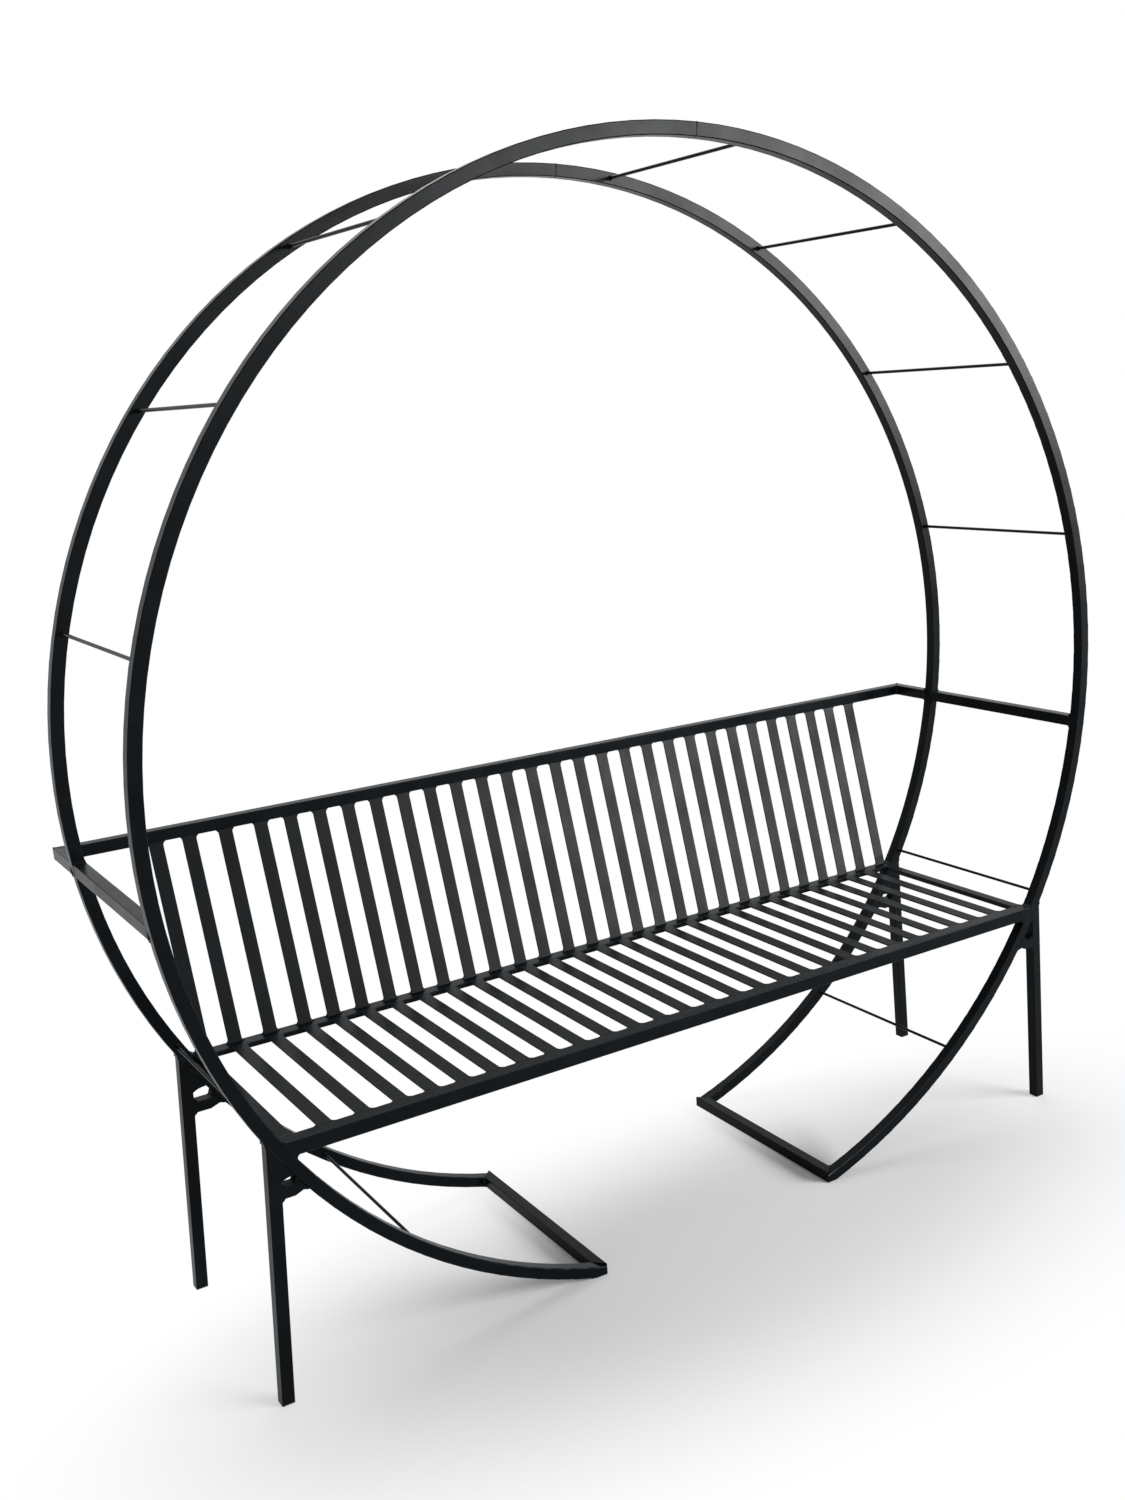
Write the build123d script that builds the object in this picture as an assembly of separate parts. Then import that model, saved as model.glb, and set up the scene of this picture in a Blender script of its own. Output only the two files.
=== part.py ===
from build123d import *
import os
from math import atan, cos, degrees, sqrt

# A welded garden bench that sits inside two big round hoops.
# Millimetres. +X runs along the bench, the sitter looks to -Y, +Z is up.
# The origin is on the floor, in the middle of the whole width and depth.

# Square tube that makes the frame
tube = 22.0
tube_wall = 1.5
tube_corner = 1.5
bore_corner = 0.5

# The two hoops
hoop_diameter = 2000.0
hoop_spacing = 432.0
floor_gap = 534.0
hoop_joint_angle = 88.0
sleeve_length = 120.0
sleeve_wall = 1.2
sleeve_clearance = 0.2

# Seat
seat_height = 457.0
front_rail_width = 28.0
front_rail_height = 26.0
end_rail_inset = 2.0
end_rail_width = 22.0
end_rail_height = 10.0
rear_rail_width = 30.0
rear_rail_height = 10.0

# Back and arms
arm_height = 850.0
back_reach = 116.0
slat_foot_inset = 9.0
slat_head_inset = 5.0

# Flat bar slats: from the right the steps open slowly, then two wider ones on the left
slat_width = 26.0
slat_thickness = 3.0
slat_edge_gap = 44.0
even_steps = 24
step_growth = 0.00125
wide_steps = 2
wide_step_share = 1.19
outer_slat_step = 61.0

# Legs
leg_overhang = 3.0
leg_splay = 30.0
plug_flange = 2.0
plug_length = 22.0
plug_clearance = 0.2

# Ties between the legs and the hoops
front_tie_drop = 93.0
rear_tie_drop = 108.0
tie_height = 20.0
tie_rise = 15.0
tie_bend_share = 0.35

# Round rungs between the hoops, by their angle above the hoop's centre
rung_diameter = 6.0
rung_angles = (-51.0, -28.5, 16.1, 38.1, 60.1, 81.3)

# How far a rough piece runs past the face that trims it
overrun = 60.0

# Places that follow from the sizes above
hoop_outer = hoop_diameter / 2
hoop_inner = hoop_outer - tube
hoop_middle = hoop_outer - tube / 2
floor_bar_inner = floor_gap / 2
floor_bar_outer = floor_bar_inner + tube
hoop_centre_height = tube + sqrt(hoop_inner ** 2 - floor_bar_outer ** 2)
depth = hoop_spacing + tube + back_reach
front_face = -depth / 2
front_back = front_face + tube
front_rail_back = front_face + front_rail_width
rear_face = front_face + hoop_spacing
rear_back = rear_face + tube
back_end = depth / 2


def half_width(radius, height):
    # half the width of a circle on the hoop's centre, at a height above the floor
    return sqrt(radius ** 2 - (height - hoop_centre_height) ** 2)


end_rail_outer = half_width(hoop_inner, seat_height) - end_rail_inset
end_rail_inner = end_rail_outer - end_rail_width
arm_outer = half_width(hoop_outer, arm_height - tube / 2)
arm_inner = arm_outer - tube
rear_rail_front = rear_back - rear_rail_width
leg_top = half_width(hoop_outer, seat_height) + leg_overhang
leg_foot = leg_top + leg_splay


def solid_section(wide, tall, corner=tube_corner):
    return RectangleRounded(wide, tall, corner)


def hollow_section(wide, tall, wall=tube_wall, corner=tube_corner):
    bore = RectangleRounded(wide - 2 * wall, tall - 2 * wall, bore_corner)
    return RectangleRounded(wide, tall, corner) - bore


def bar_along_x(section, start, end, y, z):
    return extrude(Plane.YZ.offset(start) * Pos(y, z) * section, end - start)


def bar_along_y(section, start, end, x, z):
    return extrude(Plane.XZ.offset(-end) * Pos(x, z) * section, end - start)


def disc(radius, start, end):
    # a solid disc on the hoops' axis, for coping the tubes that meet a hoop
    return bar_along_y(Circle(radius), start, end, 0, hoop_centre_height)


def left_of(piece):
    return mirror(piece, about=Plane.YZ)


def above(piece, height):
    return split(piece, bisect_by=Plane.XY.offset(height), keep=Keep.TOP)


def below(piece, height):
    return split(piece, bisect_by=Plane.XY.offset(height), keep=Keep.BOTTOM)


def mitre(piece, corner_x, corner_y, facing_x, facing_y):
    # keep the side of an upright 45 degree plane that the facing direction points to
    plane = Plane(origin=(corner_x, corner_y, 0), z_dir=(facing_x, facing_y, 0))
    return split(piece, bisect_by=plane, keep=Keep.TOP)


def arc_bar(section, front, start_angle, end_angle):
    # a bar bent round the hoops' axis, between two angles above the centre
    spoke = Axis((0, 0, hoop_centre_height), (0, -1, 0))
    middle = (hoop_middle, front + tube / 2, hoop_centre_height)
    flat = Plane(origin=middle, x_dir=(1, 0, 0), z_dir=(0, 0, 1)) * section
    bent = revolve(flat, spoke, end_angle - start_angle)
    return bent.rotate(spoke, start_angle)


def tip_waste(front, corner_y, facing_y):
    # what the mitre with the right floor bar takes off the end of a hoop
    corner = Pos(0, front, 0)
    block = corner * Box(floor_bar_outer, tube, 2 * tube, align=Align.MIN)
    return mitre(block, floor_bar_inner, corner_y, -1, -facing_y)


def right_hoop_half(front, waste):
    # from below the floor up to the joint near the top, then trimmed at the floor
    start_angle = -90.0
    bent = arc_bar(hollow_section(tube, tube), front, start_angle, hoop_joint_angle)
    return above(bent, 0) - waste


def left_hoop_half(front, waste):
    end_angle = 270.0
    bent = arc_bar(hollow_section(tube, tube), front, hoop_joint_angle, end_angle)
    return above(bent, 0) - left_of(waste)


def hoop_sleeve(front):
    # a short bent tube inside the hoop, half in each half
    size = tube - 2 * tube_wall - 2 * sleeve_clearance
    section = hollow_section(size, size, sleeve_wall)
    reach = degrees(sleeve_length / 2 / hoop_middle)
    return arc_bar(section, front, hoop_joint_angle - reach, hoop_joint_angle + reach)


def right_floor_bar():
    middle = (floor_bar_inner + floor_bar_outer) / 2
    bar = bar_along_y(hollow_section(tube, tube), front_face, rear_back, middle, tube / 2)
    bar = mitre(bar, floor_bar_inner, front_face, -1, 1)
    return mitre(bar, floor_bar_inner, rear_back, -1, -1)


def leg_bar(section, front):
    # a right leg's bar, from under the floor to inside the hoop, splayed outwards
    slope = leg_splay / seat_height
    long_side = sqrt(1 + slope ** 2)
    up = (-slope / long_side, 0, 1 / long_side)
    out = (1 / long_side, 0, slope / long_side)
    foot_x = leg_foot - tube / 2 * long_side + overrun * slope
    plane = Plane(origin=(foot_x, front + tube / 2, -overrun), x_dir=out, z_dir=up)
    return extrude(plane * section, seat_height + 2 * overrun)


def right_leg(front):
    rough = leg_bar(hollow_section(tube, tube), front)
    return above(rough, plug_flange) - disc(hoop_outer, front, front + tube)


def right_foot_plug(front):
    # a plug with a thin flange under the tube's open end
    size = tube - 2 * tube_wall - 2 * plug_clearance
    flange = above(below(leg_bar(solid_section(tube, tube), front), plug_flange), 0)
    insert = leg_bar(solid_section(size, size, bore_corner), front)
    return flange + above(below(insert, plug_length), plug_flange)


def right_leg_tie(front, drop):
    # a short bar that rises from the leg to the hoop
    low = seat_height - drop
    inside = half_width(hoop_outer, low) - tube / 2
    outside = leg_foot
    bend = inside + tie_bend_share * (outside - inside)
    outline = Polyline(
        (outside, low),
        (outside, low + tie_height),
        (bend, low + tie_height),
        (inside, low + tie_height + tie_rise),
        (inside, low + tie_rise),
        (bend, low),
        close=True,
    )
    block = bar_along_y(make_face(outline), front, front + tube, 0, 0)
    leg = leg_bar(solid_section(tube, tube), front)
    trimmed = block - disc(hoop_outer, front, front + tube) - leg
    # the leg cuts the block in two: the inner one is the tie
    return trimmed.solids().sort_by(Axis.X)[0]


def front_seat_rail():
    # a larger box section, flush with the front of the hoop
    middle = front_face + front_rail_width / 2
    height = seat_height - front_rail_height / 2
    section = hollow_section(front_rail_width, front_rail_height)
    rail = bar_along_x(section, -hoop_outer, hoop_outer, middle, height)
    return rail & disc(hoop_inner, front_face, front_rail_back)


def right_end_rail():
    # a flat box section, level with the rear seat rail at its top and underside
    middle = (end_rail_inner + end_rail_outer) / 2
    height = seat_height - end_rail_height / 2
    section = hollow_section(end_rail_width, end_rail_height)
    return bar_along_y(section, front_rail_back, rear_face, middle, height)


def rear_seat_rail():
    # a flat box section, notched round the end rails where it stands in front of the hoop
    middle = rear_back - rear_rail_width / 2
    height = seat_height - rear_rail_height / 2
    section = hollow_section(rear_rail_width, rear_rail_height)
    rail = bar_along_x(section, -hoop_outer, hoop_outer, middle, height)
    rail = rail & disc(hoop_inner, rear_rail_front, rear_back)
    corner = Pos(end_rail_inner, rear_rail_front, seat_height - overrun)
    notch = corner * Box(overrun, rear_face - rear_rail_front, 2 * overrun, align=Align.MIN)
    return rail - notch - left_of(notch)


def back_top_rail():
    middle = back_end - tube / 2
    height = arm_height - tube / 2
    rail = bar_along_x(hollow_section(tube, tube), -arm_outer, arm_outer, middle, height)
    rail = mitre(rail, arm_outer, back_end, -1, 1)
    return mitre(rail, -arm_outer, back_end, 1, 1)


def right_rear_arm():
    middle = (arm_inner + arm_outer) / 2
    arm = bar_along_y(hollow_section(tube, tube), rear_back, back_end, middle, arm_height - tube / 2)
    return mitre(arm, arm_outer, back_end, 1, -1)


def right_front_arm():
    middle = (arm_inner + arm_outer) / 2
    return bar_along_y(hollow_section(tube, tube), front_back, rear_face, middle, arm_height - tube / 2)


def seat_slat_places():
    # x of every seat slat, from right to left
    right = end_rail_inner - slat_edge_gap - slat_width / 2
    shares = [1 + step_growth * k for k in range(even_steps)]
    shares = shares + [wide_step_share] * wide_steps
    step = 2 * right / sum(shares)
    places = [right]
    for share in shares:
        places.append(places[-1] - step * share)
    return places


def back_slat_places():
    places = seat_slat_places()
    return [places[0] + outer_slat_step] + places + [places[-1] - outer_slat_step]


def seat_slat(x):
    flat = Rectangle(slat_width, slat_thickness)
    return bar_along_y(flat, front_rail_back, rear_rail_front, x, seat_height - slat_thickness / 2)


def back_slat(x):
    # cut level at both ends: it stands on the rear seat rail and reaches the top rail
    foot = rear_back - slat_foot_inset
    head = back_end - tube + slat_head_inset
    top = arm_height - tube
    lean = atan((head - foot) / (top - seat_height))
    half = slat_thickness / cos(lean) / 2
    outline = Polyline(
        (foot - half, seat_height),
        (foot + half, seat_height),
        (head + half, top),
        (head - half, top),
        close=True,
    )
    side = Plane.YZ.offset(x - slat_width / 2) * make_face(outline)
    return extrude(side, slat_width)


def rung(angle):
    rod = bar_along_y(Circle(rung_diameter / 2), front_back, rear_face, hoop_middle, hoop_centre_height)
    return rod.rotate(Axis((0, 0, hoop_centre_height), (0, -1, 0)), angle)


def make_pieces():
    pieces = {}
    for place, front, corner_y, facing_y, tie_drop in (
        ("front", front_face, front_face, -1, front_tie_drop),
        ("rear", rear_face, rear_back, 1, rear_tie_drop),
    ):
        waste = tip_waste(front, corner_y, facing_y)
        pieces[place + "_hoop_left"] = left_hoop_half(front, waste)
        pieces[place + "_hoop_right"] = right_hoop_half(front, waste)
        pieces[place + "_hoop_sleeve"] = hoop_sleeve(front)
        for name, piece in (
            ("leg", right_leg(front)),
            ("foot_plug", right_foot_plug(front)),
            ("leg_tie", right_leg_tie(front, tie_drop)),
        ):
            pieces[place + "_right_" + name] = piece
            pieces[place + "_left_" + name] = left_of(piece)
    for name, piece in (
        ("floor_bar", right_floor_bar()),
        ("seat_end_rail", right_end_rail()),
        ("rear_arm", right_rear_arm()),
        ("front_arm", right_front_arm()),
    ):
        pieces["right_" + name] = piece
        pieces["left_" + name] = left_of(piece)
    pieces["front_seat_rail"] = front_seat_rail()
    pieces["rear_seat_rail"] = rear_seat_rail()
    pieces["back_top_rail"] = back_top_rail()
    pieces["seat_slats"] = Compound([seat_slat(x) for x in seat_slat_places()])
    pieces["back_slats"] = Compound([back_slat(x) for x in back_slat_places()])
    for number, angle in enumerate(rung_angles, start=1):
        piece = rung(angle)
        pieces["right_rung_" + str(number)] = piece
        pieces["left_rung_" + str(number)] = left_of(piece)
    return pieces


os.makedirs("parts", exist_ok=True)
for name, piece in make_pieces().items():
    export_step(piece, "parts/" + name + ".step")
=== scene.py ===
import math
import random

import bmesh
import bpy
from mathutils import Euler, Matrix, Vector


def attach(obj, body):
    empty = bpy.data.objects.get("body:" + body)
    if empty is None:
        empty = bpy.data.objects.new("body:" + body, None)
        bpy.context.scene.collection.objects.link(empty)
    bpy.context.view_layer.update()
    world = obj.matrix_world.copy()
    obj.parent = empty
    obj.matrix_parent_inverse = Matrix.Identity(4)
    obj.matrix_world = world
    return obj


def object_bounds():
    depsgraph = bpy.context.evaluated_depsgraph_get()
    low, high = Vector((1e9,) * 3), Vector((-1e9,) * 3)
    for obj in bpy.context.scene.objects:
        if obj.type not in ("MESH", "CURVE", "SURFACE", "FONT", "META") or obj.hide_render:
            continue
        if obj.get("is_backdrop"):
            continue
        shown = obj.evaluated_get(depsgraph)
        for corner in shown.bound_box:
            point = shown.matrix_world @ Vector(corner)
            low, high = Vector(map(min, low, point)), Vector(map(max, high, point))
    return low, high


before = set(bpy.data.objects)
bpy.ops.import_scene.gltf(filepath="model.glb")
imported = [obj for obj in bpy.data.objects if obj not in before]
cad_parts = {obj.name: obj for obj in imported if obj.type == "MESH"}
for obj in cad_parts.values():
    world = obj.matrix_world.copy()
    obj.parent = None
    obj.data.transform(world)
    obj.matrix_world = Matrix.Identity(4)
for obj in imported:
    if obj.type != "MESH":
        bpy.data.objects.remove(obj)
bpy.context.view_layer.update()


# The two round hoops, front and rear. Each is 22 mm square steel tube rolled in two halves,
# sleeved and butt welded just right of the top, ground back and powder coated satin black.
TUBE = 0.022
HOOP_OUTER = 1.000
HOOP_INNER = HOOP_OUTER - TUBE
FLOOR_BAR_INNER = 0.267
FLOOR_BAR_OUTER = FLOOR_BAR_INNER + TUBE
HOOP_CENTRE = TUBE + math.sqrt(HOOP_INNER ** 2 - FLOOR_BAR_OUTER ** 2)
HOOP_SPACING = 0.432
FRONT_FACE = -0.285
FRONT_BACK = FRONT_FACE + TUBE
REAR_FACE = FRONT_FACE + HOOP_SPACING
REAR_BACK = REAR_FACE + TUBE
JOINT_ANGLE = math.radians(88.0)
JOINT_BAND = 0.0030
JOINT_STAND = 0.0007
JOINT_ROUNDING = 0.0009
COAT_DARK = (0.0009, 0.0018, 0.0026, 1.0)
COAT_LIGHT = (0.0024, 0.0040, 0.0052, 1.0)
# painted light: a paler colour for the upward faces, in specks, that stands in for light falling on the
# tops
COAT_PAINTED_TOP_LIGHT = (0.0065, 0.0090, 0.0110, 1.0)
COAT_SHEEN = 0.062
TONE_CLOUD_SCALE = 14.0
GLOSS_CLOUD_SCALE = 11.0
CLOUD_DETAIL = 3.0
GLOSS_SPREAD = 0.11
TOP_LIGHT_SPECK_SCALE = 55.0
TOP_LIGHT_SPECK_DETAIL = 4.0
TOP_LIGHT_LEAST = 0.25
TOP_LIGHT_MOST = 0.9
TOP_LIGHT_SLOPE = 0.55
PEEL_STRENGTH = 0.2
PEEL_DETAIL = 2.0
NOISE_LOW = 0.3
NOISE_HIGH = 0.7
SHARP_ANGLE = math.radians(50)


def add_node(tree, kind, **settings):
    node = tree.nodes.new(kind)
    for key, value in settings.items():
        setattr(node, key, value)
    return node


def noise(tree, place, scale, detail):
    node = add_node(tree, "ShaderNodeTexNoise")
    node.inputs["Scale"].default_value = scale
    node.inputs["Detail"].default_value = detail
    tree.links.new(place, node.inputs["Vector"])
    return node.outputs["Fac"]


def spread(tree, value, low, high):
    # turns a noise, which stays near a half, into a range between two levels
    node = add_node(tree, "ShaderNodeMapRange")
    node.inputs["From Min"].default_value = NOISE_LOW
    node.inputs["From Max"].default_value = NOISE_HIGH
    node.inputs["To Min"].default_value = low
    node.inputs["To Max"].default_value = high
    tree.links.new(value, node.inputs["Value"])
    return node.outputs["Result"]


def blend_colours(tree, share, first, second):
    node = add_node(tree, "ShaderNodeMix", data_type="RGBA")
    tree.links.new(share, node.inputs["Factor"])
    for socket, colour in ((node.inputs[6], first), (node.inputs[7], second)):
        if isinstance(colour, tuple):
            socket.default_value = colour
        else:
            tree.links.new(colour, socket)
    return node.outputs[2]


def powder_coat(name, roughness, peel_scale, peel_height):
    # satin powder coat: orange peel, cloudy tone and gloss, and painted light on the upper faces, a paler
    # colour speckled like dust
    coat = bpy.data.materials.new(name)
    coat.use_nodes = True
    tree = coat.node_tree
    shader = tree.nodes["Principled BSDF"]
    place = add_node(tree, "ShaderNodeTexCoord").outputs["Object"]
    clouds = spread(tree, noise(tree, place, TONE_CLOUD_SCALE, CLOUD_DETAIL), 0.0, 1.0)
    tone = blend_colours(tree, clouds, COAT_DARK, COAT_LIGHT)
    face = add_node(tree, "ShaderNodeSeparateXYZ")
    tree.links.new(add_node(tree, "ShaderNodeNewGeometry").outputs["Normal"], face.inputs["Vector"])
    # painted light: faces that look upward get the paler colour in specks, as if lit from above
    upward = add_node(tree, "ShaderNodeMapRange")
    upward.inputs["From Min"].default_value = TOP_LIGHT_SLOPE
    upward.inputs["From Max"].default_value = 1.0
    tree.links.new(face.outputs["Z"], upward.inputs["Value"])
    painted_top_light = add_node(tree, "ShaderNodeMath", operation="MULTIPLY")
    tree.links.new(upward.outputs["Result"], painted_top_light.inputs[0])
    specks = spread(tree, noise(tree, place, TOP_LIGHT_SPECK_SCALE, TOP_LIGHT_SPECK_DETAIL), TOP_LIGHT_LEAST, TOP_LIGHT_MOST)
    tree.links.new(specks, painted_top_light.inputs[1])
    tree.links.new(blend_colours(tree, painted_top_light.outputs[0], tone, COAT_PAINTED_TOP_LIGHT), shader.inputs["Base Color"])
    cloudy = noise(tree, place, GLOSS_CLOUD_SCALE, CLOUD_DETAIL)
    gloss = spread(tree, cloudy, roughness, roughness + GLOSS_SPREAD)
    tree.links.new(gloss, shader.inputs["Roughness"])
    shader.inputs["Specular IOR Level"].default_value = COAT_SHEEN
    bump = add_node(tree, "ShaderNodeBump")
    bump.inputs["Strength"].default_value = PEEL_STRENGTH
    bump.inputs["Distance"].default_value = peel_height
    tree.links.new(noise(tree, place, peel_scale, PEEL_DETAIL), bump.inputs["Height"])
    tree.links.new(bump.outputs["Normal"], shader.inputs["Normal"])
    return coat


def finish_node(name, material):
    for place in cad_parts[name].material_slots:
        place.material = material


def new_piece(name, mesh, material):
    # makes the finished piece, smooth up to a sharp edge, fixed to the bench
    bmesh.ops.recalc_face_normals(mesh, faces=mesh.faces)
    data = bpy.data.meshes.new(name)
    mesh.to_mesh(data)
    mesh.free()
    data.materials.append(material)
    piece = bpy.data.objects.new(name, data)
    bpy.context.collection.objects.link(piece)
    data.polygons.foreach_set("use_smooth", [True] * len(data.polygons))
    data.set_sharp_from_angle(angle=SHARP_ANGLE)
    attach(piece, "root")
    return piece


def on_hoop(radius, angle, y):
    return Vector((radius * math.cos(angle), y, HOOP_CENTRE + radius * math.sin(angle)))


tube_coat = powder_coat("satin_black_tube", roughness=0.23, peel_scale=900.0, peel_height=0.00025)
for side in ("left", "right"):
    finish_node("front_hoop_" + side, tube_coat)
    finish_node("rear_hoop_" + side, tube_coat)

joints = bmesh.new()
for face_y in (FRONT_FACE, REAR_FACE):
    band = bmesh.ops.create_cube(joints, size=1.0)["verts"]
    bmesh.ops.scale(joints, vec=(TUBE + JOINT_STAND, TUBE + JOINT_STAND, JOINT_BAND), verts=band)
    turn = Matrix.Rotation(math.pi / 2 - JOINT_ANGLE, 3, "Y") @ Matrix.Rotation(math.pi / 2, 3, "Y")
    bmesh.ops.rotate(joints, cent=(0, 0, 0), matrix=turn, verts=band)
    middle = on_hoop(HOOP_OUTER - TUBE / 2, JOINT_ANGLE, face_y + TUBE / 2)
    bmesh.ops.translate(joints, vec=middle, verts=band)
bmesh.ops.bevel(
    joints, geom=joints.edges[:], offset=JOINT_ROUNDING, offset_type="OFFSET", affect="EDGES",
    segments=2, profile=0.5, material=-1,
)
new_piece("hoop_joint_welds", joints, tube_coat)


# A short sleeve of smaller tube inside each hoop joint, half in each half. It is bare mill
# steel, pushed in before welding, and out of sight for good.
MILL_DARK = (0.16, 0.15, 0.15, 1.0)
MILL_LIGHT = (0.34, 0.33, 0.32, 1.0)
MILL_PATCH_SCALE = 60.0
MILL_PATCH_DETAIL = 6.0
MILL_GRAIN_SCALE = 240.0
MILL_GRAIN_DETAIL = 4.0
MILL_SMOOTH = 0.4
MILL_ROUGH = 0.65


def bare_steel(name, dark, light):
    steel = bpy.data.materials.new(name)
    steel.use_nodes = True
    tree = steel.node_tree
    shader = tree.nodes["Principled BSDF"]
    shader.inputs["Metallic"].default_value = 1.0
    place = add_node(tree, "ShaderNodeTexCoord").outputs["Object"]
    patches = spread(tree, noise(tree, place, MILL_PATCH_SCALE, MILL_PATCH_DETAIL), 0.0, 1.0)
    tree.links.new(blend_colours(tree, patches, dark, light), shader.inputs["Base Color"])
    grain = spread(tree, noise(tree, place, MILL_GRAIN_SCALE, MILL_GRAIN_DETAIL), MILL_SMOOTH, MILL_ROUGH)
    tree.links.new(grain, shader.inputs["Roughness"])
    return steel


mill_steel = bare_steel("bare_mill_steel", MILL_DARK, MILL_LIGHT)
finish_node("front_hoop_sleeve", mill_steel)
finish_node("rear_hoop_sleeve", mill_steel)


# Twelve round rungs, six a side, that tie the front hoop to the rear one. They are 6 mm
# rod, butted on the hoops' facing sides and welded right round each end.
RUNG_RADIUS = 0.003
RUNG_ANGLES = (-51.0, -28.5, 16.1, 38.1, 60.1, 81.3)
COLLAR_SECTION = 0.0019
COLLAR_SIDES = 8
COLLAR_STEPS = 18
COLLAR_WAVES = 6
COLLAR_WAVE_HEIGHT = 0.10
COLLAR_UNEVEN = 0.04
COLLAR_FLATNESS = 0.85
CHANCE_SEED = 11

rung_coat = powder_coat("satin_black_rod", roughness=0.23, peel_scale=1300.0, peel_height=0.00018)
weld_coat = powder_coat("satin_black_weld", roughness=0.28, peel_scale=520.0, peel_height=0.0006)
chance = random.Random(CHANCE_SEED)
collars = bmesh.new()
for number, degrees in enumerate(RUNG_ANGLES, start=1):
    for side, sign in (("left", -1), ("right", 1)):
        finish_node(side + "_rung_" + str(number), rung_coat)
        middle = on_hoop(HOOP_OUTER - TUBE / 2, math.radians(degrees), 0.0)
        for face_y in (FRONT_BACK, REAR_FACE):
            centre = Vector((sign * middle.x, face_y, middle.z))
            ring = bmesh.ops.create_circle(collars, segments=COLLAR_SIDES, radius=COLLAR_SECTION)
            start = centre + Vector((RUNG_RADIUS, 0, 0))
            bmesh.ops.translate(collars, vec=start, verts=ring["verts"])
            outline = list({edge for point in ring["verts"] for edge in point.link_edges})
            before = set(collars.verts)
            bmesh.ops.spin(
                collars, geom=ring["verts"] + outline, cent=centre, axis=(0, 1, 0),
                angle=2 * math.pi, steps=COLLAR_STEPS, use_merge=True, use_duplicate=False,
            )
            made = [point for point in collars.verts if point not in before] + ring["verts"]
            made = [point for point in set(made) if point.is_valid]
            # in order of place, so that each run gives every point the same swell
            made.sort(key=lambda point: point.co[:])
            for point in made:
                out = point.co - centre
                turn = math.atan2(out.z, out.x)
                swell = 1.0 + COLLAR_WAVE_HEIGHT * math.sin(COLLAR_WAVES * turn + number)
                swell += chance.uniform(-COLLAR_UNEVEN, COLLAR_UNEVEN)
                flatter = out.y * COLLAR_FLATNESS * swell
                point.co = centre + Vector((out.x * swell, flatter, out.z * swell))
new_piece("rung_welds", collars, weld_coat)


# Two floor bars, the same tube, that close the hoops' ends at the ground. Their ends are
# mitred to the hoop tips and the inner corners carry a short fillet weld.
RIPPLE = 0.0024
RIPPLE_SIZES = (1.0, 0.86)
RIPPLE_UNEVEN = 0.05
SINK = 0.0006
BEAD_SHARES = (0.0, 0.25, 0.5, 0.75, 1.0)
BEAD_INSET = 0.001
FLOOR_BEAD = 0.0050
FLOOR_BEAD_LOW = 0.0012
FLAT_CROWN = 0.0002


def run_bead(mesh, start, end, side_a, side_b, leg, crown):
    # a weld run between two surfaces: side_a and side_b lead away from its root, over each
    side_a = Vector(side_a).normalized()
    side_b = Vector(side_b).normalized()
    start = Vector(start)
    end = Vector(end)
    along = end - start
    steps = max(2, round(along.length / RIPPLE))
    outward = along.normalized().cross(side_a - side_b)
    if outward.dot(side_a + side_b) < 0:
        outward.negate()
    outward.normalize()
    section = [mesh.verts.new(start - outward * SINK)]
    for share in BEAD_SHARES:
        reach = (side_a * (1 - share) + side_b * share) * leg
        rise = outward * crown * math.sin(math.pi * share)
        section.append(mesh.verts.new(start + reach + rise))
    end_face = mesh.faces.new(section)
    size = 1.0
    for step in range(1, steps + 1):
        grown = bmesh.ops.extrude_face_region(mesh, geom=[end_face])["geom"]
        end_face = next(part for part in grown if isinstance(part, bmesh.types.BMFace))
        points = list(end_face.verts)
        bmesh.ops.translate(mesh, vec=along / steps, verts=points)
        new_size = RIPPLE_SIZES[step % 2] * chance.uniform(1 - RIPPLE_UNEVEN, 1 + RIPPLE_UNEVEN)
        root = start + along * (step / steps)
        bmesh.ops.scale(
            mesh, vec=(new_size / size,) * 3, verts=points, space=Matrix.Translation(-root)
        )
        size = new_size


for side in ("left", "right"):
    finish_node(side + "_floor_bar", tube_coat)

floor_welds = bmesh.new()
for sign in (-1, 1):
    for corner_y, inward in ((FRONT_BACK, 1), (REAR_FACE, -1)):
        run_bead(
            floor_welds,
            (sign * FLOOR_BAR_OUTER, corner_y, FLOOR_BEAD_LOW),
            (sign * FLOOR_BAR_OUTER, corner_y, TUBE - BEAD_INSET),
            (sign, 0, 0), (0, inward, 0), FLOOR_BEAD, FLAT_CROWN,
        )
new_piece("floor_bar_welds", floor_welds, weld_coat)


# The seat frame: a larger box rail across the front hoop, coped to it, a flat one across the
# rear hoop and two flat end rails between them, welded where they meet.
SEAT_HEIGHT = 0.457
FRONT_RAIL_HEIGHT = 0.026
FRONT_RAIL_DEPTH = 0.028
FLAT_RAIL_HEIGHT = 0.010
REAR_RAIL_DEPTH = 0.030
END_RAIL_WIDTH = 0.022
END_RAIL_GAP = 0.002
FRONT_RAIL_UNDERSIDE = SEAT_HEIGHT - FRONT_RAIL_HEIGHT
FRONT_RAIL_BACK = FRONT_FACE + FRONT_RAIL_DEPTH
FLAT_RAIL_UNDERSIDE = SEAT_HEIGHT - FLAT_RAIL_HEIGHT
REAR_RAIL_FRONT = REAR_BACK - REAR_RAIL_DEPTH
JOINT_FILLET = 0.0045
JOINT_CROWN = 0.0003
UNDER_FILLET = 0.0085
UNDER_HOLLOW = 0.0012
SEAM_WIDTH = 0.0028
SEAM_CROWN = 0.0006
SEAM_LIFT = 0.0001
SEAM_INSET = 0.0005
END_RAIL_FILLET = 0.0055


def hoop_x(radius, height):
    return math.sqrt(radius ** 2 - (height - HOOP_CENTRE) ** 2)


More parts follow.
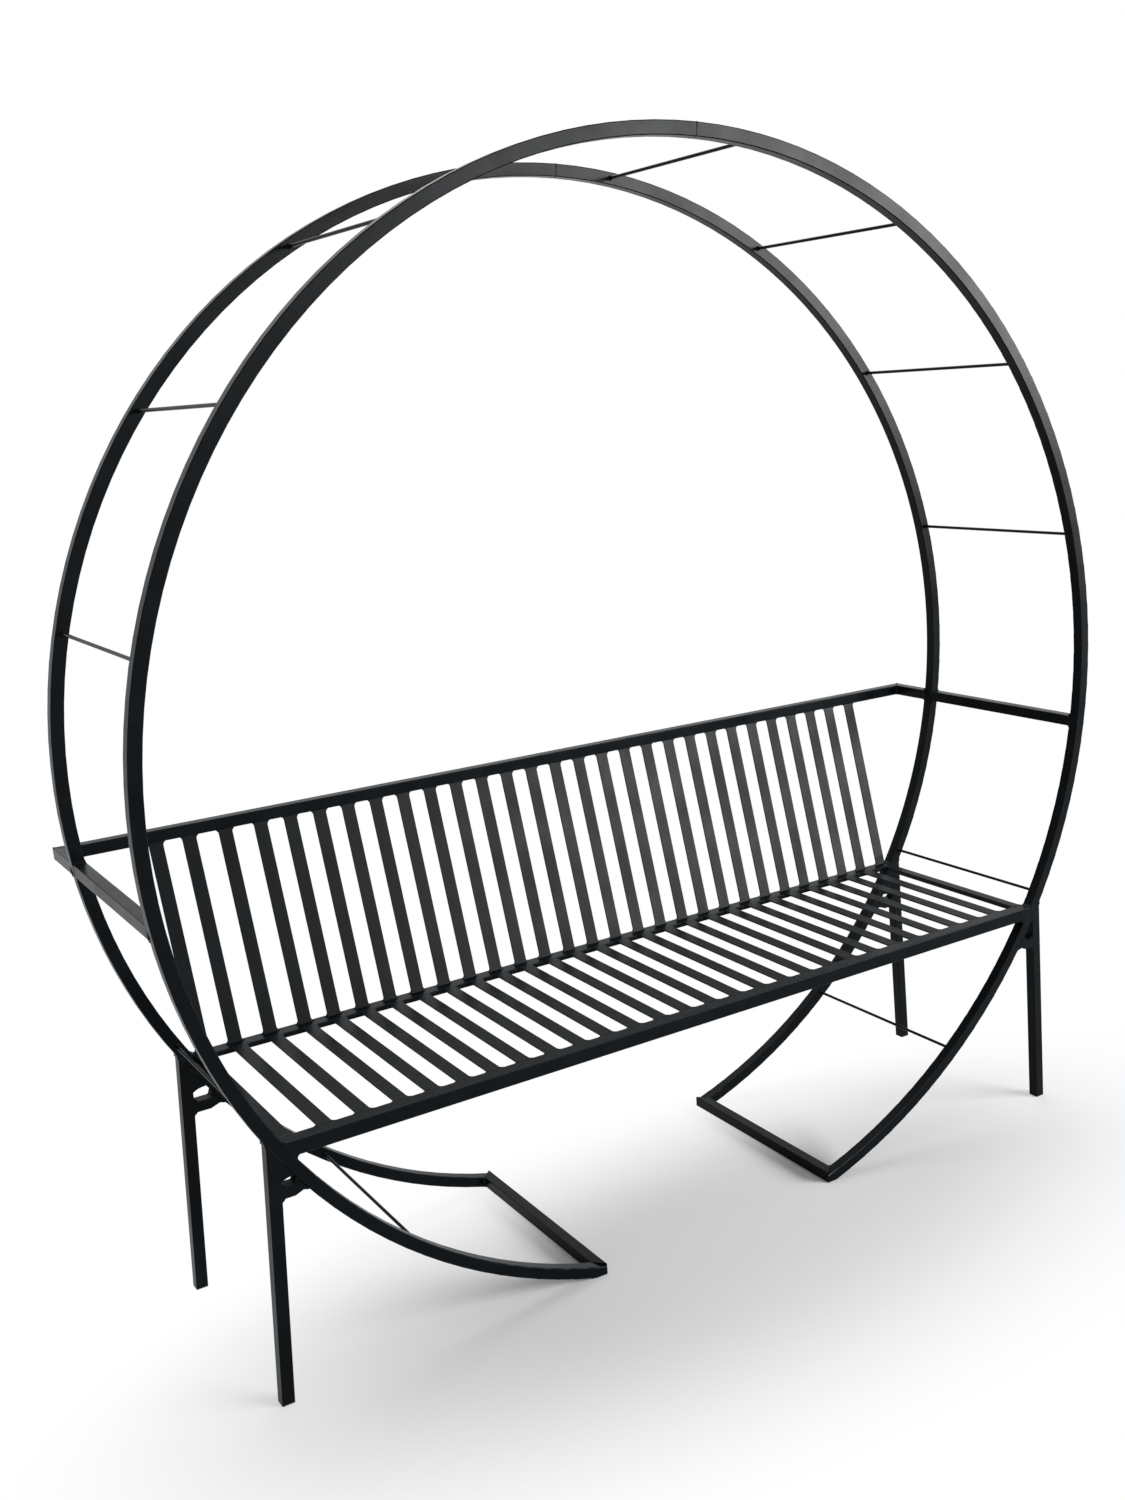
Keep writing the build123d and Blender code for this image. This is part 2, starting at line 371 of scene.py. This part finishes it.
def hoop_upward(sign, radius, height):
    # the way the hoop's surface climbs at a height, on the left (-1) or right (1) side
    return Vector((sign * (HOOP_CENTRE - height) / radius, 0, hoop_x(radius, height) / radius))


END_RAIL_OUTER = hoop_x(HOOP_INNER, SEAT_HEIGHT) - END_RAIL_GAP
END_RAIL_INNER = END_RAIL_OUTER - END_RAIL_WIDTH

for name in ("front_seat_rail", "rear_seat_rail", "left_seat_end_rail", "right_seat_end_rail"):
    finish_node(name, tube_coat)

frame_welds = bmesh.new()
for sign in (-1, 1):
    inward = Vector((-sign, 0, 0))
    for low, near_y, far_y in (
        (FRONT_RAIL_UNDERSIDE, FRONT_FACE, FRONT_BACK),
        (FLAT_RAIL_UNDERSIDE, REAR_FACE, REAR_BACK),
    ):
        top_x = sign * hoop_x(HOOP_INNER, SEAT_HEIGHT)
        low_x = sign * hoop_x(HOOP_INNER, low)
        climb = hoop_upward(sign, HOOP_INNER, SEAT_HEIGHT)
        fall = -hoop_upward(sign, HOOP_INNER, low)
        run_bead(
            frame_welds,
            (top_x, near_y + BEAD_INSET, SEAT_HEIGHT), (top_x, far_y - BEAD_INSET, SEAT_HEIGHT),
            inward, climb, JOINT_FILLET, JOINT_CROWN,
        )
        run_bead(
            frame_welds, (low_x, near_y + BEAD_INSET, low), (low_x, far_y - BEAD_INSET, low),
            inward, fall, UNDER_FILLET, -UNDER_HOLLOW,
        )
        slope = Vector((top_x - low_x, 0, SEAT_HEIGHT - low)).normalized()
        across = Vector((slope.z, 0, -slope.x))
        for face_y, lift in ((near_y, -SEAM_LIFT), (far_y, SEAM_LIFT)):
            run_bead(
                frame_welds,
                (low_x, face_y + lift, low + SEAM_INSET),
                (top_x, face_y + lift, SEAT_HEIGHT - SEAM_INSET),
                across + Vector((0, lift, 0)), -across + Vector((0, lift, 0)), SEAM_WIDTH, SEAM_CROWN,
            )
    inner = sign * END_RAIL_INNER
    run_bead(
        frame_welds,
        (inner, FRONT_RAIL_BACK, FLAT_RAIL_UNDERSIDE + BEAD_INSET),
        (inner, FRONT_RAIL_BACK, SEAT_HEIGHT - BEAD_INSET),
        inward, (0, 1, 0), END_RAIL_FILLET, FLAT_CROWN,
    )
    run_bead(
        frame_welds,
        (inner, REAR_RAIL_FRONT, FLAT_RAIL_UNDERSIDE + BEAD_INSET),
        (inner, REAR_RAIL_FRONT, SEAT_HEIGHT - BEAD_INSET),
        inward, (0, -1, 0), END_RAIL_FILLET, FLAT_CROWN,
    )
    run_bead(
        frame_welds,
        (inner + sign * BEAD_INSET, FRONT_RAIL_BACK, SEAT_HEIGHT + SEAM_LIFT),
        (sign * (END_RAIL_OUTER - BEAD_INSET), FRONT_RAIL_BACK, SEAT_HEIGHT + SEAM_LIFT),
        (0, 1, SEAM_LIFT), (0, -1, SEAM_LIFT), SEAM_WIDTH, SEAM_CROWN,
    )
new_piece("seat_frame_welds", frame_welds, weld_coat)


# Twenty-seven seat slats of 26 by 3 mm flat bar, laid flush with the rails and welded in their
# corners. The steps open slowly from the right, with two wider ones at the left end.
SLAT_WIDTH = 0.026
SLAT_THICKNESS = 0.003
END_SLAT_GAP = 0.044
GROWING_STEPS = 24
STEP_GROWTH_SHARE = 0.00125
WIDE_STEP_SHARES = [1.19, 1.19]
FIRST_SLAT = END_RAIL_INNER - END_SLAT_GAP - SLAT_WIDTH / 2
STEP_SHARES = [1 + STEP_GROWTH_SHARE * number for number in range(GROWING_STEPS)]
STEP_SHARES += WIDE_STEP_SHARES
SLAT_STEP = 2 * FIRST_SLAT / sum(STEP_SHARES)
CORNER_FILLET = 0.0062
FILLET_HOLLOW = 0.0011
FILLET_UNEVEN = 0.1
SLAT_BEAD_INSET = 0.0003
EDGE_ROUNDING = 0.0006
EDGE_REACH = 0.00001
EDGE_ANGLE = math.radians(40)

seat_slat_places = [FIRST_SLAT]
for share in STEP_SHARES:
    seat_slat_places.append(seat_slat_places[-1] - SLAT_STEP * share)

slat_coat = powder_coat("satin_black_flat_bar", roughness=0.34, peel_scale=800.0, peel_height=0.0003)


def soften_edges(name):
    # flat bar has slightly round edges, and the coating rounds them a little more
    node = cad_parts[name]
    joined = node.modifiers.new("joined", "WELD")
    joined.merge_threshold = EDGE_REACH
    rounding = node.modifiers.new("rounding", "BEVEL")
    rounding.width = EDGE_ROUNDING
    rounding.segments = 2
    rounding.limit_method = "ANGLE"
    rounding.angle_limit = EDGE_ANGLE


finish_node("seat_slats", slat_coat)
soften_edges("seat_slats")

slat_welds = bmesh.new()
slat_low = SEAT_HEIGHT - SLAT_THICKNESS + SLAT_BEAD_INSET
slat_top = SEAT_HEIGHT - SLAT_BEAD_INSET
for place in seat_slat_places:
    for side in (-1, 1):
        edge = place + side * SLAT_WIDTH / 2
        for end_y, inward in ((FRONT_RAIL_BACK, 1), (REAR_RAIL_FRONT, -1)):
            size = CORNER_FILLET * chance.uniform(1 - FILLET_UNEVEN, 1 + FILLET_UNEVEN)
            run_bead(
                slat_welds, (edge, end_y, slat_low), (edge, end_y, slat_top),
                (side, 0, 0), (0, inward, 0), size, -FILLET_HOLLOW,
            )
new_piece("seat_slat_welds", slat_welds, weld_coat)


# The top frame of the back: a square tube rail behind the rear hoop, mitred to two rear arms
# that run forward to that hoop, and two front arms that carry on between the hoops.
ARM_HEIGHT = 0.850
ARM_OUTER = hoop_x(HOOP_OUTER, ARM_HEIGHT - TUBE / 2)
ARM_INNER = ARM_OUTER - TUBE
BACK_END = -FRONT_FACE
ARM_SEAM = 0.0026
MITRE_SEAM = 0.0022
MITRE_CROWN = 0.0005

for name in ("back_top_rail", "left_rear_arm", "right_rear_arm", "left_front_arm", "right_front_arm"):
    finish_node(name, tube_coat)

arm_welds = bmesh.new()
for sign in (-1, 1):
    for face_y, along in ((FRONT_BACK, 1), (REAR_FACE, -1), (REAR_BACK, 1)):
        for height, way in ((ARM_HEIGHT, 1), (ARM_HEIGHT - TUBE, -1)):
            run_bead(
                arm_welds,
                (sign * (ARM_INNER + BEAD_INSET), face_y, height),
                (sign * (ARM_OUTER - BEAD_INSET), face_y, height),
                (0, along, 0), (0, 0, way), JOINT_FILLET, JOINT_CROWN,
            )
        for side_x, lift in ((ARM_INNER, -SEAM_LIFT), (ARM_OUTER, SEAM_LIFT)):
            seam_x = sign * (side_x + lift)
            run_bead(
                arm_welds,
                (seam_x, face_y, ARM_HEIGHT - TUBE + BEAD_INSET),
                (seam_x, face_y, ARM_HEIGHT - BEAD_INSET),
                (sign * lift, 1, 0), (sign * lift, -1, 0), ARM_SEAM, SEAM_CROWN,
            )
    run_bead(
        arm_welds,
        (sign * ARM_INNER, BACK_END - TUBE, ARM_HEIGHT - TUBE + BEAD_INSET),
        (sign * ARM_INNER, BACK_END - TUBE, ARM_HEIGHT - BEAD_INSET),
        (-sign, 0, 0), (0, -1, 0), JOINT_FILLET, FLAT_CROWN,
    )
    for height, lift in ((ARM_HEIGHT, SEAM_LIFT), (ARM_HEIGHT - TUBE, -SEAM_LIFT)):
        run_bead(
            arm_welds,
            (sign * (ARM_INNER + SEAM_INSET), BACK_END - TUBE + SEAM_INSET, height + lift),
            (sign * (ARM_OUTER - BEAD_INSET), BACK_END - BEAD_INSET, height + lift),
            (1, -sign, lift), (-1, sign, lift), MITRE_SEAM, MITRE_CROWN,
        )
new_piece("arm_welds", arm_welds, weld_coat)


# Twenty-nine back slats of the same flat bar. Each stands on the rear seat rail and leans back
# to the underside of the top rail, cut level at both ends and welded in its corners.
OUTER_STEP = 0.061
FOOT_SETBACK = 0.009
HEAD_SETBACK = 0.005
FOOT_Y = REAR_BACK - FOOT_SETBACK
HEAD_Y = BACK_END - TUBE + HEAD_SETBACK
LEAN = math.atan2(HEAD_Y - FOOT_Y, ARM_HEIGHT - TUBE - SEAT_HEIGHT)

finish_node("back_slats", slat_coat)
soften_edges("back_slats")

back_slat_places = [FIRST_SLAT + OUTER_STEP]
back_slat_places += seat_slat_places
back_slat_places.append(seat_slat_places[-1] - OUTER_STEP)
back_welds = bmesh.new()
up_slat = Vector((0, math.sin(LEAN), math.cos(LEAN)))
half = SLAT_THICKNESS / math.cos(LEAN) / 2 - SLAT_BEAD_INSET
for place in back_slat_places:
    for side in (-1, 1):
        edge = place + side * SLAT_WIDTH / 2
        for middle_y, height, way in (
            (FOOT_Y, SEAT_HEIGHT, up_slat),
            (HEAD_Y, ARM_HEIGHT - TUBE, -up_slat),
        ):
            size = CORNER_FILLET * chance.uniform(1 - FILLET_UNEVEN, 1 + FILLET_UNEVEN)
            run_bead(
                back_welds, (edge, middle_y - half, height), (edge, middle_y + half, height),
                (side, 0, 0), way, size, -FILLET_HOLLOW,
            )
new_piece("back_slat_welds", back_welds, weld_coat)


# Four splayed legs of the same tube, coped to the outside of the hoops at seat height. The
# narrow corner under each cope is filled with weld, and the seams are ground nearly flush.
LEG_STAND = 0.003
LEG_TOP = hoop_x(HOOP_OUTER, SEAT_HEIGHT) + LEG_STAND
LEG_SPLAY = 0.030
LEG_WIDTH = TUBE * math.sqrt(1 + (LEG_SPLAY / SEAT_HEIGHT) ** 2)
LEG_DOWN = Vector((LEG_SPLAY / SEAT_HEIGHT, 0, -1)).normalized()
CORNER_FILLS = {
    "front_left": 0.035, "front_right": 0.009, "rear_left": 0.040, "rear_right": 0.052,
}
FILL_HOLLOW = 0.0020
FILL_INSET = 0.0008
SEARCH_STEPS = 20


def cope_height(top_x):
    # where a side of a leg, at top_x in line with the seat, meets the outside of the hoop
    height = SEAT_HEIGHT
    for _ in range(SEARCH_STEPS):
        side_x = top_x + LEG_SPLAY * (SEAT_HEIGHT - height) / SEAT_HEIGHT
        height = HOOP_CENTRE - math.sqrt(HOOP_OUTER ** 2 - side_x ** 2)
    return height


COPE_INNER_HEIGHT = cope_height(LEG_TOP - LEG_WIDTH)
COPE_OUTER_HEIGHT = cope_height(LEG_TOP)

leg_welds = bmesh.new()
for side, sign in (("left", -1), ("right", 1)):
    for place, near_y in (("front", FRONT_FACE), ("rear", REAR_FACE)):
        finish_node(place + "_" + side + "_leg", tube_coat)
        far_y = near_y + TUBE
        low = Vector((sign * hoop_x(HOOP_OUTER, COPE_INNER_HEIGHT), 0, COPE_INNER_HEIGHT))
        top = Vector((sign * hoop_x(HOOP_OUTER, COPE_OUTER_HEIGHT), 0, COPE_OUTER_HEIGHT))
        down_leg = Vector((sign * LEG_DOWN.x, 0, LEG_DOWN.z))
        slope = (top - low).normalized()
        across = Vector((slope.z, 0, -slope.x))
        for face_y, lift in ((near_y, -SEAM_LIFT), (far_y, SEAM_LIFT)):
            run_bead(
                leg_welds, low + Vector((0, face_y + lift, 0)), top + Vector((0, face_y + lift, 0)),
                across + Vector((0, lift, 0)), -across + Vector((0, lift, 0)), SEAM_WIDTH, SEAM_CROWN,
            )
        fill = CORNER_FILLS[place + "_" + side]
        fill_angle = math.asin((low.z - HOOP_CENTRE) / HOOP_OUTER) - fill / HOOP_OUTER
        fill_end = on_hoop(HOOP_OUTER, fill_angle, 0)
        fill_end.x *= sign
        run_bead(
            leg_welds,
            low + Vector((0, near_y + FILL_INSET, 0)), low + Vector((0, far_y - FILL_INSET, 0)),
            down_leg, fill_end - low, fill, -FILL_HOLLOW,
        )
        run_bead(
            leg_welds,
            top + Vector((0, near_y + BEAD_INSET, 0)), top + Vector((0, far_y - BEAD_INSET, 0)),
            down_leg, hoop_upward(sign, HOOP_OUTER, COPE_OUTER_HEIGHT), JOINT_FILLET, JOINT_CROWN,
        )
new_piece("leg_welds", leg_welds, weld_coat)


# A short cranked tie between each leg and its hoop, below the seat. It stiffens the leg, and
# both its ends are welded round. The rear ties sit a little lower than the front ones.
FRONT_TIE_DROP = 0.093
REAR_TIE_DROP = 0.108
FRONT_TIE_LOW = SEAT_HEIGHT - FRONT_TIE_DROP
REAR_TIE_LOW = SEAT_HEIGHT - REAR_TIE_DROP
TIE_HEIGHT = 0.020
TIE_RISE = 0.015
TIE_BEND_SHARE = 0.35
UPPER_LEG_FILLET = 0.0075
UPPER_HOOP_FILLET = 0.0085
LOWER_LEG_FILLET = 0.0060
LOWER_HOOP_FILLET = 0.0070
TIE_SEARCH_STEPS = 12


def leg_inner(height):
    return LEG_TOP + LEG_SPLAY * (SEAT_HEIGHT - height) / SEAT_HEIGHT - LEG_WIDTH


def tie_end(bend, height, slope):
    # where the rising line of a tie meets the outside of the hoop
    reach = hoop_x(HOOP_OUTER, height)
    for _ in range(TIE_SEARCH_STEPS):
        reach = hoop_x(HOOP_OUTER, height + (bend - reach) * slope)
    return reach, height + (bend - reach) * slope


tie_welds = bmesh.new()
for side, sign in (("left", -1), ("right", 1)):
    for place, near_y, low in (
        ("front", FRONT_FACE, FRONT_TIE_LOW),
        ("rear", REAR_FACE, REAR_TIE_LOW),
    ):
        finish_node(place + "_" + side + "_leg_tie", tube_coat)
        inside = hoop_x(HOOP_OUTER, low) - TUBE / 2
        bend = inside + TIE_BEND_SHARE * (LEG_TOP + LEG_SPLAY - inside)
        slope = TIE_RISE / (bend - inside)
        down_leg = Vector((sign * LEG_DOWN.x, 0, LEG_DOWN.z))
        down_tie = Vector((sign, 0, -slope))
        for height, way, leg_size, hoop_size in (
            (low + TIE_HEIGHT, 1, UPPER_LEG_FILLET, UPPER_HOOP_FILLET),
            (low, -1, LOWER_LEG_FILLET, LOWER_HOOP_FILLET),
        ):
            at_leg = Vector((sign * leg_inner(height), near_y + BEAD_INSET, height))
            run_bead(
                tie_welds, at_leg, at_leg + Vector((0, TUBE - 2 * BEAD_INSET, 0)),
                (-sign, 0, 0), down_leg * -way, leg_size, FLAT_CROWN,
            )
            reach, rise = tie_end(bend, height, slope)
            at_hoop = Vector((sign * reach, near_y + BEAD_INSET, rise))
            run_bead(
                tie_welds, at_hoop, at_hoop + Vector((0, TUBE - 2 * BEAD_INSET, 0)),
                down_tie, hoop_upward(sign, HOOP_OUTER, rise) * way, hoop_size, FLAT_CROWN,
            )
new_piece("leg_tie_welds", tie_welds, weld_coat)


# Four moulded plugs in the open lower ends of the legs. Each is matte black plastic with a
# thin flange under the tube, pressed in by hand.
PLASTIC_DARK = (0.010, 0.010, 0.010, 1.0)
PLASTIC_LIGHT = (0.022, 0.022, 0.022, 1.0)
PLASTIC_SHEEN = 0.3
SCUFF_SCALE = 180.0
SCUFF_DETAIL = 5.0
WEAR_SCALE = 420.0
WEAR_DETAIL = 3.0
WORN_SMOOTH = 0.55
WORN_ROUGH = 0.75
GRAIN_SCALE = 2600.0
GRAIN_DETAIL = 2.0
GRAIN_STRENGTH = 0.3
GRAIN_HEIGHT = 0.0002


def moulded_plastic(name, dark, light):
    plastic = bpy.data.materials.new(name)
    plastic.use_nodes = True
    tree = plastic.node_tree
    shader = tree.nodes["Principled BSDF"]
    place = add_node(tree, "ShaderNodeTexCoord").outputs["Object"]
    scuff = spread(tree, noise(tree, place, SCUFF_SCALE, SCUFF_DETAIL), 0.0, 1.0)
    tree.links.new(blend_colours(tree, scuff, dark, light), shader.inputs["Base Color"])
    wear = spread(tree, noise(tree, place, WEAR_SCALE, WEAR_DETAIL), WORN_SMOOTH, WORN_ROUGH)
    tree.links.new(wear, shader.inputs["Roughness"])
    shader.inputs["Specular IOR Level"].default_value = PLASTIC_SHEEN
    bump = add_node(tree, "ShaderNodeBump")
    bump.inputs["Strength"].default_value = GRAIN_STRENGTH
    bump.inputs["Distance"].default_value = GRAIN_HEIGHT
    tree.links.new(noise(tree, place, GRAIN_SCALE, GRAIN_DETAIL), bump.inputs["Height"])
    tree.links.new(bump.outputs["Normal"], shader.inputs["Normal"])
    return plastic


foot_plastic = moulded_plastic("matte_black_plastic", PLASTIC_DARK, PLASTIC_LIGHT)
for place in ("front_left", "front_right", "rear_left", "rear_right"):
    finish_node(place + "_foot_plug", foot_plastic)


# The floor: a wide white card. In an oval round the bench it is matte card that takes the shadow. This
# card is greyer than the white around it, so the oval is also a painted shadow pool just in front of the
# bench. Further out it fades to white in the camera's view, so its edge never shows.
FLOOR_SIZE = 60.0
# painted shadow: the grey of the matte card and the place and size of the oval make a darker pool in
# front of the bench
FLOOR_WHITE = (0.76, 0.76, 0.76, 1.0)
SHADOW_POOL_CENTRE = (0.03, -0.36, 0.0)
SHADOW_POOL_HALF_LENGTHS = (1.15, 0.50, 1.0)
FADE_START = 0.35
FADE_END = 1.25

card = bmesh.new()
bmesh.ops.create_grid(card, x_segments=1, y_segments=1, size=FLOOR_SIZE / 2)
floor_mesh = bpy.data.meshes.new("floor")
card.to_mesh(floor_mesh)
card.free()
floor = bpy.data.objects.new("floor", floor_mesh)
bpy.context.collection.objects.link(floor)
floor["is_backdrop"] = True

card_white = bpy.data.materials.new("white_card")
card_white.use_nodes = True
tree = card_white.node_tree
tree.nodes.clear()
place = add_node(tree, "ShaderNodeTexCoord").outputs["Object"]
offset = add_node(tree, "ShaderNodeVectorMath", operation="SUBTRACT")
offset.inputs[1].default_value = SHADOW_POOL_CENTRE
tree.links.new(place, offset.inputs[0])
share_of_pool = add_node(tree, "ShaderNodeVectorMath", operation="DIVIDE")
share_of_pool.inputs[1].default_value = SHADOW_POOL_HALF_LENGTHS
tree.links.new(offset.outputs["Vector"], share_of_pool.inputs[0])
distance = add_node(tree, "ShaderNodeVectorMath", operation="LENGTH")
tree.links.new(share_of_pool.outputs["Vector"], distance.inputs[0])
fade = add_node(tree, "ShaderNodeMapRange", interpolation_type="SMOOTHSTEP")
fade.inputs["From Min"].default_value = FADE_START
fade.inputs["From Max"].default_value = FADE_END
tree.links.new(distance.outputs["Value"], fade.inputs["Value"])
matte = add_node(tree, "ShaderNodeBsdfDiffuse")
matte.inputs["Color"].default_value = FLOOR_WHITE


def seen_directly(tree):
    # 1 for the camera, a reflection or a view through glass, and 0 for light on the bench
    path = add_node(tree, "ShaderNodeLightPath")
    mirrored = add_node(tree, "ShaderNodeMath", operation="MAXIMUM")
    tree.links.new(path.outputs["Is Camera Ray"], mirrored.inputs[0])
    tree.links.new(path.outputs["Is Glossy Ray"], mirrored.inputs[1])
    viewed = add_node(tree, "ShaderNodeMath", operation="MAXIMUM")
    tree.links.new(mirrored.outputs[0], viewed.inputs[0])
    tree.links.new(path.outputs["Is Transmission Ray"], viewed.inputs[1])
    return viewed.outputs[0]


share = add_node(tree, "ShaderNodeMath", operation="MULTIPLY")
tree.links.new(fade.outputs["Result"], share.inputs[0])
tree.links.new(seen_directly(tree), share.inputs[1])
glow = add_node(tree, "ShaderNodeEmission")
glow.inputs["Strength"].default_value = 1.0
mixed = add_node(tree, "ShaderNodeMixShader")
tree.links.new(share.outputs[0], mixed.inputs["Fac"])
tree.links.new(matte.outputs["BSDF"], mixed.inputs[1])
tree.links.new(glow.outputs["Emission"], mixed.inputs[2])
surface = add_node(tree, "ShaderNodeOutputMaterial")
tree.links.new(mixed.outputs["Shader"], surface.inputs["Surface"])
floor_mesh.materials.append(card_white)


# The light: a white studio all round, a soft lamp above and behind the bench, and a wide one
# at the front right, which gives the hoops their sheen towards the upper right.
STUDIO_LEVEL = 0.25
LAMP_AIM = Vector((0.1, 0.0, 0.5))
# each lamp's name, place, width, height and watts
LAMPS = (
    ("key_lamp", Vector((0.8, 2.0, 4.4)), 3.2, 3.2, 80.0),
    ("front_lamp", Vector((4.8, -5.2, 2.3)), 5.0, 2.4, 880.0),
)

studio = bpy.data.worlds.new("white_studio")
bpy.context.scene.world = studio
studio.use_nodes = True
tree = studio.node_tree
background = tree.nodes["Background"]
background.inputs["Color"].default_value = (1.0, 1.0, 1.0, 1.0)
level = add_node(tree, "ShaderNodeMapRange")
level.inputs["To Min"].default_value = STUDIO_LEVEL
level.inputs["To Max"].default_value = 1.0
tree.links.new(seen_directly(tree), level.inputs["Value"])
tree.links.new(level.outputs["Result"], background.inputs["Strength"])

for name, place, width, height, power in LAMPS:
    lamp_data = bpy.data.lights.new(name, "AREA")
    lamp_data.shape = "ELLIPSE"
    lamp_data.size = width
    lamp_data.size_y = height
    lamp_data.energy = power
    lamp = bpy.data.objects.new(name, lamp_data)
    bpy.context.collection.objects.link(lamp)
    lamp.location = place
    lamp.rotation_euler = (LAMP_AIM - place).to_track_quat("-Z", "Y").to_euler()


# The camera: at standing height in front of the left end, looking slightly down along the
# bench, as the photograph was taken, with its small tilt and its framing.
CAMERA_PLACE = Vector((-1.530264, -2.402779, 1.547169))
CAMERA_TURN = 0.5704
CAMERA_DOWN = 0.2940
CAMERA_TILT = -0.0561
FOCAL_PIXELS = 1519.64
SENSOR_WIDTH = 36.0
IMAGE_WIDTH = 1125.0
IMAGE_HEIGHT = 1500.0
CENTRE_PIXEL = (627.82, 856.89)

camera_data = bpy.data.cameras.new("camera")
camera = bpy.data.objects.new("camera", camera_data)
bpy.context.collection.objects.link(camera)
look = Euler((math.pi / 2 - CAMERA_DOWN, 0, -CAMERA_TURN)).to_matrix()
look = look @ Matrix.Rotation(CAMERA_TILT, 3, "Z")
camera.matrix_world = Matrix.Translation(CAMERA_PLACE) @ look.to_4x4()
camera_data.sensor_width = SENSOR_WIDTH
camera_data.sensor_fit = "AUTO"
camera_data.lens = SENSOR_WIDTH * FOCAL_PIXELS / IMAGE_HEIGHT
camera_data.shift_x = (IMAGE_WIDTH / 2 - CENTRE_PIXEL[0]) / IMAGE_HEIGHT
camera_data.shift_y = (CENTRE_PIXEL[1] - IMAGE_HEIGHT / 2) / IMAGE_HEIGHT
bpy.context.scene.camera = camera
bpy.context.scene.view_settings.view_transform = "Standard"


# The size of the dressed bench, without the floor.
low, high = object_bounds()
